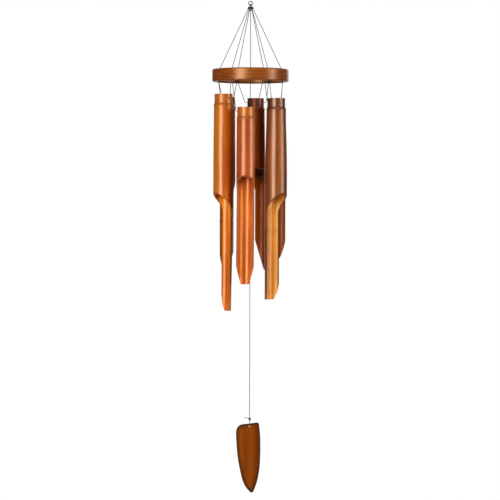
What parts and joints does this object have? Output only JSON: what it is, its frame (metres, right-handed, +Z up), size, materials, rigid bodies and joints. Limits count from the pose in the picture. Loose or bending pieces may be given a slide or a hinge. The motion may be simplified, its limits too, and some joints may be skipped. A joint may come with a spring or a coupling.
{
  "type": "wind chime",
  "caption": "Bamboo wind chime: notched tubes hung on cords under a round wooden hoop, with a central striker and a leaf-shaped wooden wind sail, hung from a small ring.",
  "frame": {"origin": "centre of the hanging ring", "axes": "+Z up, -Y to the front, +X to the right seen from the front"},
  "size_m": [0.1426, 0.1441, 0.9148],
  "materials": {
    "bamboo_light": "satin lacquer over smoked bamboo",
    "bamboo_brown": "satin lacquer over smoked bamboo",
    "bamboo_dark": "satin lacquer over smoked bamboo",
    "hoop_wood": "satin stained wood",
    "striker_wood": "satin dark stained wood",
    "sail_wood": "satin stained wood with visible grain",
    "cord": "matte twisted cord",
    "ring_metal": "black, semi-gloss",
    "staple_wire": "dark, oxidised"
  },
  "bodies": {
    "ring": {"hanging_ring": "ring_metal"},
    "crown_loop": {"crown_loop": "cord"},
    "hoop_frame": {"crown_knot": "cord", "hoop": "hoop_wood", "suspension_cord_1": "cord", "suspension_cord_2": "cord", "suspension_cord_3": "cord", "suspension_cord_4": "cord", "suspension_cord_5": "cord", "suspension_cord_6": "cord", "hoop_staple_1": "staple_wire", "hoop_staple_2": "staple_wire", "hoop_staple_3": "staple_wire", "hoop_staple_4": "staple_wire", "hoop_staple_5": "staple_wire", "hoop_staple_6": "staple_wire", "upper_knot_1": "cord", "upper_knot_2": "cord", "upper_knot_3": "cord", "upper_knot_4": "cord", "upper_knot_5": "cord", "upper_knot_6": "cord", "lower_knot_1": "cord", "lower_knot_2": "cord", "lower_knot_3": "cord", "lower_knot_4": "cord", "lower_knot_5": "cord", "lower_knot_6": "cord"},
    "centre_knot": {"centre_knot": "cord"},
    "centre_line": {"centre_cord": "cord", "striker_top_knot": "cord"},
    "striker": {"striker": "striker_wood"},
    "sail_line_knot": {"striker_stop_knot": "cord"},
    "sail_line": {"sail_cord": "cord"},
    "sail_loop": {"sail_knot": "cord", "sail_loop": "cord"},
    "sail": {"sail": "sail_wood"},
    "cord_front_left": {"tube_cord_front_left": "cord"},
    "tube_front_left": {"tube_front_left": "bamboo_light"},
    "cord_front": {"tube_cord_front": "cord"},
    "tube_front": {"tube_front": "bamboo_light"},
    "cord_front_right": {"tube_cord_front_right": "cord"},
    "tube_front_right": {"tube_front_right": "bamboo_brown"},
    "cord_back_right": {"tube_cord_back_right": "cord"},
    "tube_back_right": {"tube_back_right": "bamboo_dark"},
    "cord_back": {"tube_cord_back": "cord"},
    "tube_back": {"tube_back": "bamboo_dark"},
    "cord_back_left": {"tube_cord_back_left": "cord"},
    "tube_back_left": {"tube_back_left": "bamboo_dark"}
  },
  "joints": [
    {"name": "hanger_swing", "type": "hinge", "parent": "ring", "child": "crown_loop", "pos_m": [0, 0, -0.00375], "axis": [1, 0, 0], "range_deg": [-25, 25]},
    {"name": "hanger_sway", "type": "hinge", "parent": "crown_loop", "child": "hoop_frame", "pos_m": [0, 0, -0.00375], "axis": [0, -1, 0], "range_deg": [-20, 20]},
    {"name": "striker_swing", "type": "hinge", "parent": "hoop_frame", "child": "centre_knot", "pos_m": [0, 0, -0.013], "axis": [1, 0, 0], "range_deg": [-1.9, 1.9]},
    {"name": "striker_sway", "type": "hinge", "parent": "centre_knot", "child": "centre_line", "pos_m": [0, 0, -0.013], "axis": [0, -1, 0], "range_deg": [-1.9, 1.9]},
    {"name": "striker_spin", "type": "hinge", "parent": "centre_line", "child": "striker", "pos_m": [0, 0, -0.315], "axis": [0, 0, 1], "continuous": true},
    {"name": "sail_line_swing", "type": "hinge", "parent": "centre_line", "child": "sail_line_knot", "pos_m": [0, 0, -0.3264], "axis": [1, 0, 0], "range_deg": [-5, 5]},
    {"name": "sail_line_sway", "type": "hinge", "parent": "sail_line_knot", "child": "sail_line", "pos_m": [0, 0, -0.3264], "axis": [0, -1, 0], "range_deg": [-5, 5]},
    {"name": "sail_turn", "type": "hinge", "parent": "sail_line", "child": "sail_loop", "pos_m": [0, 0, -0.773], "axis": [0, 0, 1], "range_deg": [-120, 120]},
    {"name": "sail_rock", "type": "hinge", "parent": "sail_loop", "child": "sail", "pos_m": [0, 0, -0.7865], "axis": [0, 1, 0], "range_deg": [-15, 15]},
    {"name": "front_left_swing", "type": "hinge", "parent": "hoop_frame", "child": "cord_front_left", "pos_m": [-0.04746, -0.01678, -0.142], "axis": [0.4115, -0.9114, 0], "range_deg": [-12, 0.8]},
    {"name": "front_left_tilt", "type": "hinge", "parent": "cord_front_left", "child": "tube_front_left", "pos_m": [-0.04622, -0.01952, -0.1779], "axis": [0.4115, -0.9114, 0], "range_deg": [-8, 0.5]},
    {"name": "front_swing", "type": "hinge", "parent": "hoop_frame", "child": "cord_front", "pos_m": [-0.00526, -0.0471, -0.142], "axis": [0.9951, -0.0993, 0], "range_deg": [-12, 0.8]},
    {"name": "front_tilt", "type": "hinge", "parent": "cord_front", "child": "tube_front", "pos_m": [-0.00795, -0.04684, -0.2034], "axis": [0.9951, -0.0993, 0], "range_deg": [-8, 0.5]},
    {"name": "front_right_swing", "type": "hinge", "parent": "hoop_frame", "child": "cord_front_right", "pos_m": [0.0421, -0.02572, -0.142], "axis": [-0.5835, -0.8121, 0], "range_deg": [-0.8, 12]},
    {"name": "front_right_tilt", "type": "hinge", "parent": "cord_front_right", "child": "tube_front_right", "pos_m": [0.04455, -0.02231, -0.1857], "axis": [-0.5835, -0.8121, 0], "range_deg": [-0.5, 8]},
    {"name": "back_right_swing", "type": "hinge", "parent": "hoop_frame", "child": "cord_back_right", "pos_m": [0.04726, 0.02598, -0.142], "axis": [0.4115, -0.9114, 0], "range_deg": [-0.8, 12]},
    {"name": "back_right_tilt", "type": "hinge", "parent": "cord_back_right", "child": "tube_back_right", "pos_m": [0.04882, 0.02252, -0.1943], "axis": [0.4115, -0.9114, 0], "range_deg": [-0.5, 8]},
    {"name": "back_swing", "type": "hinge", "parent": "hoop_frame", "child": "cord_back", "pos_m": [0.00506, 0.0563, -0.142], "axis": [0.9951, -0.0993, 0], "range_deg": [-0.8, 12]},
    {"name": "back_tilt", "type": "hinge", "parent": "cord_back", "child": "tube_back", "pos_m": [0.00984, 0.05583, -0.1822], "axis": [0.9951, -0.0993, 0], "range_deg": [-0.5, 8]},
    {"name": "back_left_swing", "type": "hinge", "parent": "hoop_frame", "child": "cord_back_left", "pos_m": [-0.0423, 0.03492, -0.142], "axis": [-0.5835, -0.8121, 0], "range_deg": [-12, 0.8]},
    {"name": "back_left_tilt", "type": "hinge", "parent": "cord_back_left", "child": "tube_back_left", "pos_m": [-0.04171, 0.03573, -0.1808], "axis": [-0.5835, -0.8121, 0], "range_deg": [-8, 0.5]}
  ]
}
